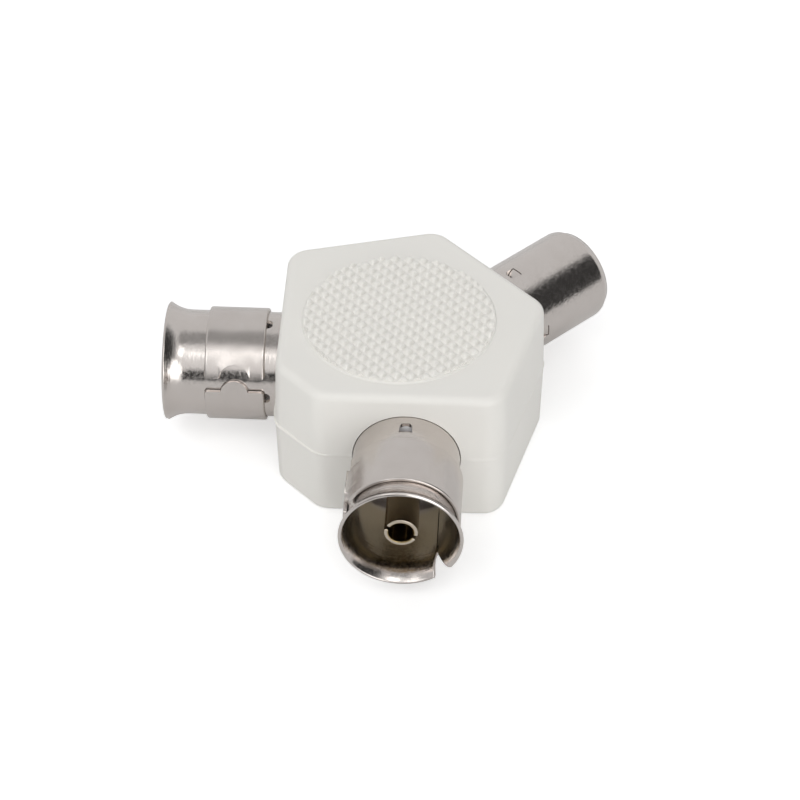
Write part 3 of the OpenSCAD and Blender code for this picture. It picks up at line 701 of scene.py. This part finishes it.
def socketSleeve(name, node, turn, finish):
    v = socket
    r, back, seam = v["r"], v["back"], v["seam"]
    # the flare is an arc that ends at the mouth
    bend = 2 * math.atan((v["mouthR"] - r) / v["flareL"])
    arcR = v["flareL"] / math.sin(bend)
    start = v["mouth"] - 0.1 - v["flareL"]
    marks = [a + 360 * k + d for k in (0, 1) for a in tabTurns for d in (-windowHalf(r), windowHalf(r))]
    marks += [a + d for a in (0, 360) for d in (-flangeCut, flangeCut)]
    columns = stepsWith(seam, seam + 360, 3, marks)
    rows = stepsWith(back + 0.6, start, 0.8, [v["tabAt"] + d for d in tabRows + [v["tabL"]]] + [v["face"]])
    # the flange, a soft turn into the tube, the tube, the flare
    path = [(back + 0.175, v["flangeR"]), (back + 0.175, v["flangeR"] - 0.3), (back + 0.2, r + 0.16),
            (back + 0.35, r + 0.02)] + [(s, r) for s in rows]
    path += [(start + arcR * math.sin(bend * k / 10), r + arcR * (1 - math.cos(bend * k / 10)))
             for k in range(1, 11)]
    path = [path[0]] + [p for q, p in zip(path, path[1:]) if math.dist(p, q) > 0.01]

    def seamEnds(s, rr, t):
        # the two ends of the rolled sheet: a hairline butt seam that opens into the notch
        t = besideTab(s, rr, t, v["tabAt"])
        opened = max(0, s - (v["mouth"] - v["notchL"])) / v["notchL"]
        left = v["seamW"] / 2 + v["notchW"] * 0.5 * opened ** 0.9
        right = v["seamW"] / 2 + v["notchW"] * 0.5 * opened ** 1.3
        # corners at the mouth are rounded
        corner = max(0, s - (v["mouth"] - 0.6)) / 0.6
        left, right = left + 0.22 * corner ** 3, right + 0.35 * corner ** 2.5
        low, high = t - seam, seam + 360 - t
        if low < 20:
            t += math.degrees(right / rr) * (1 - low / 20)
        if high < 20:
            t -= math.degrees(left / rr) * (1 - high / 20)
        return s, rr, t

    def holes(s, rr, t):
        return inWindow(s, t, v["tabAt"], r) or rr > r + 0.01 and s < v["face"] and underTail(t)

    bm = bmesh.new()
    addSheet(bm, turn, path, columns, seamEnds, holes)
    tabCells(bm, turn, r, v["tabAt"])
    addSheet(bm, turn, [(v["tailAt"] + d, r) for d in tailRows], stepsWith(-v["tailTurn"], v["tailTurn"], 3))
    piece = pieceFrom(name, bm, finish)
    thicken(piece, v["sheet"])
    bevelFrom(piece, turn, v["mouth"] - v["notchL"] - 0.3, v["edge"])
    finishEdges(piece)
    putOn(piece, node)


socketSleeve("leftSleeve", "left_socket_sleeve", axes["left"], "left_sleeve")
socketSleeve("rightSleeve", "right_socket_sleeve", axes["right"], "right_sleeve")
print("socket sleeves made")


# the spring rings: open strips whose ends face each other with a tongue and a hollow

ring = {"sheet": 0.36, "r": 5.35, "length": 5.8, "gap": 1.3, "tongueR": 1.4, "hollowR": 1.5, "tongueIn": 0.3,
        "hollowIn": 0.15, "cornerR": 0.3, "lift": 0.08, "liftTurn": 25, "softEdge": 0.16,
        "left": (14.3, 107), "right": (16.0, 252)}  # back edge and turn of the gap


def springRing(name, node, turn, finish, at, gapAt):
    v = ring
    middle = at + v["length"] / 2

    def bulge(s, radius, inset):
        # how far a half-round end reaches past the straight edge at this place along the ring
        away = abs(s - middle)
        return math.sqrt(max(0, radius ** 2 - away ** 2)) - inset if away < radius else -1

    def ends(s, rr, t):
        # the straight ends have small rounded corners, the tongue and the hollow run in with short curves
        corner = max(0, v["cornerR"] - min(s - at, at + v["length"] - s)) / v["cornerR"]
        short = v["cornerR"] * (1 - math.sqrt(max(0, 1 - corner ** 2)))
        tongue = -v["gap"] / 2 - short + max(0, bulge(s, v["tongueR"], v["tongueIn"]))
        hollow = v["gap"] / 2 + short + max(0, bulge(s, v["hollowR"], v["hollowIn"]))
        low, high = t - gapAt, gapAt + 360 - t
        if low < 60:
            t += math.degrees(hollow / rr) * (1 - low / 60)
        if high < 60:
            t += math.degrees(tongue / rr) * (1 - high / 60)
        lift = v["lift"] * max(0, 1 - min(low, high) / v["liftTurn"]) ** 2  # the ends spring out a little
        return s, rr + lift, t

    roundEnds = [0.03, 0.08, 0.16, 0.3]
    marks = [at + e for e in roundEnds] + [at + v["length"] - e for e in roundEnds]
    marks += [middle + side * reach * math.cos(math.radians(a)) for side in (-1, 1)
              for reach in (1.37, 1.5) for a in (0, 4, 9, 15, 22, 31, 42, 55, 70)]
    rows = stepsWith(at, at + v["length"], 0.5, marks)
    rows = [rows[0]] + [b for a, b in zip(rows, rows[1:]) if b - a > 0.004]
    bm = bmesh.new()
    # closer columns at the two ends
    columns = sorted(stepsWith(gapAt, gapAt + 360, 3) + [gapAt + d for d in (0.5, 1.2, 358.8, 359.5)])
    addSheet(bm, turn, [(s, v["r"]) for s in rows], columns, ends)
    piece = pieceFrom(name, bm, finish)
    thicken(piece, v["sheet"])
    softenStrip(piece, turn, (at, at + v["length"]), v["r"], v["softEdge"])
    finishEdges(piece)
    putOn(piece, node)


springRing("leftSpringRing", "left_spring_ring", axes["left"], "left_ring", *ring["left"])
springRing("rightSpringRing", "right_spring_ring", axes["right"], "right_ring", *ring["right"])
print("spring rings made")


# the plug sleeve: deep-drawn, so without a seam, with its front edge turned in

plug = {"sheet": 0.4, "r": 4.56, "neckR": 4.36, "back": 8.88, "face": 10.7, "neckEnd": 10.82, "noseAt": 21.75,
        "noseR": 4.2, "tip": 22.9, "edgeR": 0.45, "flangeR": 5.16, "tailAt": 6.48, "tailHalf": 1.62,
        "tabAt": 12.85, "edge": 0.08}


def plugSleeve():
    v = plug
    r, neckR = v["r"], v["neckR"]
    marks = [a + d for a in tabTurns + [360] for d in (-windowHalf(r), windowHalf(r))]
    marks += [flangeCut, 360 - flangeCut]
    columns = stepsWith(0, 360, 3, marks)
    front = v["noseAt"]
    rows = stepsWith(v["neckEnd"] + 0.03, front, 0.9, [v["tabAt"] + d for d in tabRows + [socket["tabL"]]])
    path = [(v["back"] + 0.2, v["flangeR"] - 0.05), (v["back"] + 0.2, neckR + 0.4),
            (v["back"] + 0.22, neckR + 0.16), (v["back"] + 0.38, neckR + 0.02)]
    path += [(s, neckR) for s in (v["back"] + 0.6, 10.0, v["face"] - 0.03)] + [(s, r) for s in rows]
    # a cone with soft turns, then the edge rolled in
    turnIn, end = v["edgeR"] - v["sheet"] / 2, v["tip"] - v["edgeR"]
    cone, coneR = front + 0.3, r - 0.07
    path += [(front + 0.15, r - 0.02), (cone, coneR)]
    path += [(cone + (end - cone) * k / 3, coneR + (v["noseR"] - coneR) * k / 3) for k in (1, 2, 3)]
    path += [(end + turnIn * math.sin(math.radians(a)), v["noseR"] - turnIn * (1 - math.cos(math.radians(a))))
             for a in (45, 68, 90)]
    path += [(end + turnIn, v["noseR"] - turnIn - 0.2)]

    def holes(s, rr, t):
        return inWindow(s, t, v["tabAt"], r) or rr > neckR + 0.01 and s < v["back"] + 0.5 and underTail(t)

    def shape(s, rr, t):
        return s, rr, besideTab(s, rr, t, v["tabAt"])

    bm = bmesh.new()
    addSheet(bm, axes["plug"], path, columns, shape, holes, closed=True)
    tabCells(bm, axes["plug"], r, v["tabAt"])
    half = math.degrees(v["tailHalf"] / neckR)
    addSheet(bm, axes["plug"], [(v["tailAt"] + d, neckR) for d in tailRows], stepsWith(-half, half, 3))
    piece = pieceFrom("plugSleeve", bm, "nickel_plate")
    thicken(piece, v["sheet"])
    bevelFrom(piece, axes["plug"], v["tip"] - 1, v["edge"])
    finishEdges(piece)
    putOn(piece, "plug_sleeve")


plugSleeve()


# the contacts: rolled tubes with a seam and slits, and the turned pin of the plug

contact = {"sheet": 0.4, "r": 1.4, "rootR": 0.8, "tail": 7.91, "tailL": 1.9, "shoulder": 14.72, "tip": 23.3,
           "slitL": 6.0, "slitW": 0.4, "seam": 247, "seamW": 0.15, "edge": 0.1,
           "collar": (10.89, 11.29, 0.95, 1.4)}  # back, front, bore and rim


def socketContact(name, node, turn, finish):
    v = contact
    slitAt = v["tip"] - v["slitL"]
    half = math.degrees(v["slitW"] / 2 / v["r"])
    slit = v["seam"] + 180
    columns = stepsWith(v["seam"], v["seam"] + 360, 7.5, [270, slit - half, slit + half, 450])
    rows = stepsWith(v["shoulder"] + 0.45, v["tip"] - 0.4, 0.7, [slitAt - 0.01, slitAt])
    path = [(s, v["rootR"]) for s in stepsWith(v["tail"], v["shoulder"], 0.8, [v["tail"] + v["tailL"]])]
    path += [(v["shoulder"] + 0.2, v["rootR"] + 0.14), (v["shoulder"] + 0.22, v["r"] - 0.14)]
    path += [(s, v["r"]) for s in rows + [v["tip"]]]

    def ends(s, rr, t):
        width = v["slitW"] if s >= slitAt else v["seamW"]
        low, high = t - v["seam"], v["seam"] + 360 - t
        if low < 30:
            t += math.degrees(width / 2 / rr) * (1 - low / 30)
        if high < 30:
            t -= math.degrees(width / 2 / rr) * (1 - high / 30)
        return s, rr, t

    def holes(s, rr, t):
        if s < v["tail"] + v["tailL"]:
            return 90 < t % 360 < 270  # the open trough that the wire is soldered in
        return s > slitAt and abs(t - slit) < half

    bm = bmesh.new()
    addSheet(bm, turn, path, columns, ends, holes)
    piece = pieceFrom(name, bm)
    thicken(piece, v["sheet"])
    bevelFrom(piece, turn, v["tip"] - 1, v["edge"], 4)
    finishEdges(piece)
    collar = bmesh.new()
    low, high, bore, rim = v["collar"]
    addTurned(collar, turn, [(low, bore), (low, rim - 0.04), (low + 0.04, rim), (high - 0.04, rim),
                             (high, rim - 0.04), (high, bore)])
    collarPiece = pieceFrom("collar", collar)
    finishEdges(collarPiece)
    whole = joined(name + "Whole", [piece, collarPiece], finish)
    putOn(whole, node)


socketContact("leftContact", "left_contact", axes["left"], "contact")
socketContact("rightContact", "right_contact", axes["right"], "right_contact")

pin = {"r": 1.2, "tip": 21.8, "tail": 5.56, "tailL": 1.9, "collarAt": 8.54, "collarR": 1.6}


def plugPin():
    v = pin
    nose = [(v["tip"] - v["r"] + v["r"] * math.sin(math.radians(a)), v["r"] * math.cos(math.radians(a)))
            for a in range(0, 90, 6)]
    bm = bmesh.new()
    addTurned(bm, axes["plug"], [(v["tail"], 0), (v["tail"], v["r"] - 0.1), (v["tail"] + 0.1, v["r"]),
                                 (v["collarAt"], v["r"]), (v["collarAt"], v["collarR"] - 0.05),
                                 (v["collarAt"] + 0.05, v["collarR"]), (v["collarAt"] + 0.35, v["collarR"]),
                                 (v["collarAt"] + 0.4, v["collarR"] - 0.05), (v["collarAt"] + 0.4, v["r"])]
              + [(s, v["r"]) for s in (12, 15, 18)] + nose + [(v["tip"], 0)])
    piece = pieceFrom("plugPin", bm, "pin")
    low, high = (v["tail"] - 0.1, -1.4, axes["height"]), (v["tail"] + v["tailL"], 1.4, 12)
    cutWith(piece, boxTool("flat", low, high, axes["plug"]))  # the flat that the wire is soldered on
    finishEdges(piece, 0.04)
    putOn(piece, "plug_pin")


plugPin()
print("sleeve, contacts and pin made")


# the insulators: moulded discs with a stepped rim behind the staked tabs

# back, front and step along the axis, radius of the rim and of the neck, bore, room for the collar round it
insulators = {
    "leftInsulator": ("left_insulator", "left", 9.81, 14.7, 13.75, 4.78, 4.2, 1.0, 0.4),
    "rightInsulator": ("right_insulator", "right", 9.81, 14.7, 13.75, 4.78, 4.2, 1.0, 0.4),
    "plugInsulator": ("plug_insulator", "plug", 7.46, 14.4, 12.85, 4.14, 3.56, 1.2, 0.4),
}


def insulatorPiece(name, node, turn, back, front, step, r, neck, hole, collarOut):
    soft, seat = 0.15, back + 1.5
    hole, step = hole + 0.02, step + 0.02
    outline = [(front, hole + soft), (front, neck - soft), (front - soft * 0.3, neck - soft * 0.3),
               (front - soft, neck), (step, neck), (step, r - 0.1), (step - 0.1, r), (back + 0.1, r),
               (back, r - 0.1), (back, hole + collarOut), (seat, hole + collarOut), (seat, hole),
               (front - soft, hole), (front - soft * 0.3, hole + soft * 0.3)]
    bm = bmesh.new()
    addTurned(bm, turn, outline)
    piece = pieceFrom(name, bm, "insulator")
    finishEdges(piece)
    putOn(piece, node)


for name, (node, side, *sizes) in insulators.items():
    insulatorPiece(name, node, axes[side], *sizes)
print("insulators made")


# the inner network keeps its solids and gets its finishes

inner = {
    "ground_plate": "tinplate", "ground_solder": "solder",
    "matching_core": "ferrite", "splitting_core": "ferrite",
    "matching_winding": "enamelled_wire", "splitting_winding": "enamelled_wire",
    "link_wire": "enamelled_wire",
    "resistor": "resistor_body", "left_resistor_lead": "tinned_wire", "right_resistor_lead": "tinned_wire",
}
for node, slot in inner.items():
    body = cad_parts[node]
    body.data.materials.clear()
    body.data.materials.append(finishes[slot])


# floor, light and camera

# levels of the room's parts; a softbox has its name, radiance, turn, height in degrees and side in metres
studio = {
    "floorSize": 3.0, "floorGlow": 0.42, "behind": 0.78, "leftFront": 0.42, "overhead": 0.36, "panel": 0.95,
    "leftLow": 0.65, "rightLow": 2.6, "soft": 0.14, "edge": 0.26, "screen": 0.045, "lampFar": 0.7,
    "softboxes": [("leftSoftbox", 1.1, -82, 50, 0.35), ("rightSoftbox", 1.8, -27, 60, 0.22)],
    "camera": (0.169859, -0.155010, 0.208061), "cameraTurn": -42.063, "cameraUp": 41.659, "lens": 139.06,
}


def towards(turn, up):
    turn, up = math.radians(turn), math.radians(up)
    return Vector((math.cos(turn) * math.cos(up), math.sin(turn) * math.cos(up), math.sin(up)))


def mixed(tree, factor, first, second, target):
    # puts the first shader where factor is 0, the second where it is 1
    mix = addNode(tree, "MixShader", None, {"Fac": factor})
    tree.links.new(first.outputs[0], mix.inputs[1])
    tree.links.new(second.outputs[0], mix.inputs[2])
    tree.links.new(mix.outputs[0], target)


bm = bmesh.new()
bmesh.ops.create_grid(bm, x_segments=1, y_segments=1, size=studio["floorSize"] / 2)
floor = pieceFrom("floor", bm)
floor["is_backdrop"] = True
paper, tree, shader, place = newMaterial("white paper", {"Roughness": 0.9, "Base Color": linear("#f2f2f2")})
ray = addNode(tree, "LightPath")
black = addNode(tree, "Emission", {"Color": (1, 1, 1, 1), "Strength": 0.0})
glow = addNode(tree, "Emission", {"Color": (1, 1, 1, 1), "Strength": studio["floorGlow"]})
lit = addNode(tree, "AddShader")
tree.links.new(shader.outputs[0], lit.inputs[0])
mixed(tree, ray.outputs["Is Camera Ray"], black, glow, lit.inputs[1])
tree.links.new(lit.outputs[0], tree.nodes["Material Output"].inputs["Surface"])
floor.data.materials.append(paper)

world = bpy.data.worlds.new("studio")
bpy.context.scene.world = world
world.use_nodes = True
tree = world.node_tree
direction = addNode(tree, "TexCoord").outputs["Generated"]


def roomZone(centre, start, end, inside, outside):
    # fades from one level to another between two angles from a direction in the room
    near = addNode(tree, "VectorMath", {"operation": "DOT_PRODUCT", 1: towards(*centre)}, {0: direction})
    limits = {"From Min": math.cos(math.radians(end)), "From Max": math.cos(math.radians(start))}
    fade = addNode(tree, "MapRange", {"interpolation_type": "SMOOTHSTEP", **limits},
                   {"Value": near.outputs["Value"]})
    for key, value in (("To Min", outside), ("To Max", inside)):
        if isinstance(value, bpy.types.NodeSocket):
            tree.links.new(value, fade.inputs[key])
        else:
            fade.inputs[key].default_value = value
    return fade.outputs["Result"]


# grey room with a dark ceiling, a large front panel, a low lit panel on either side, and black screens
# between; a zone has its centre, the angles from it where it ends, and its level
level = studio["leftFront"]
level = roomZone((120, 20), 75, 125, studio["behind"], level)
level = roomZone((0, 90), 14, 24, studio["overhead"], level)
level = roomZone((-45, 51), 26.5, 28.5, studio["panel"], level)
level = roomZone((-112, 18), 18, 22, studio["leftLow"], level)
level = roomZone((-15, 13), 22, 26, studio["rightLow"], level)
level = roomZone((38, 27), 27, 38, studio["soft"], level)
level = roomZone((38, 27), 25.5, 26, studio["edge"], level)
level = roomZone((38, 27), 24.3, 24.8, studio["screen"], level)
level = roomZone((-48, 8), 13, 15, studio["screen"], level)
white = addNode(tree, "Background", {"Color": (1, 1, 1, 1), "Strength": 1.0})
room = addNode(tree, "Background", {"Color": (1, 1, 1, 1)}, {"Strength": level})
ray = addNode(tree, "LightPath")
mixed(tree, ray.outputs["Is Camera Ray"], room, white, tree.nodes["World Output"].inputs["Surface"])

camera = placed("camera", bpy.data.cameras.new("camera"))
camera.location = studio["camera"]
back = towards(studio["cameraTurn"], studio["cameraUp"])
camera.rotation_euler = (-back).to_track_quat("-Z", "Y").to_euler()
camera.data.lens, camera.data.sensor_width = studio["lens"], 36
camera.data.clip_start, camera.data.clip_end = 0.01, 10
bpy.context.scene.camera = camera

# two square softboxes above, on either side of the camera
for name, strength, turn, up, size in studio["softboxes"]:
    lamp = placed(name, bpy.data.lights.new(name, "AREA"))
    lamp.data.shape, lamp.data.size = "SQUARE", size
    lamp.data.energy = strength * math.pi * size * size
    lamp.location = towards(turn, up) * studio["lampFar"]
    lamp.rotation_euler = towards(turn, up).to_track_quat("Z", "Y").to_euler()
bpy.context.scene.view_settings.view_transform = "Standard"
print("studio made")

sizes = {"cad": [list(c) for c in cadBox], "visual": [list(c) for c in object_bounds()]}
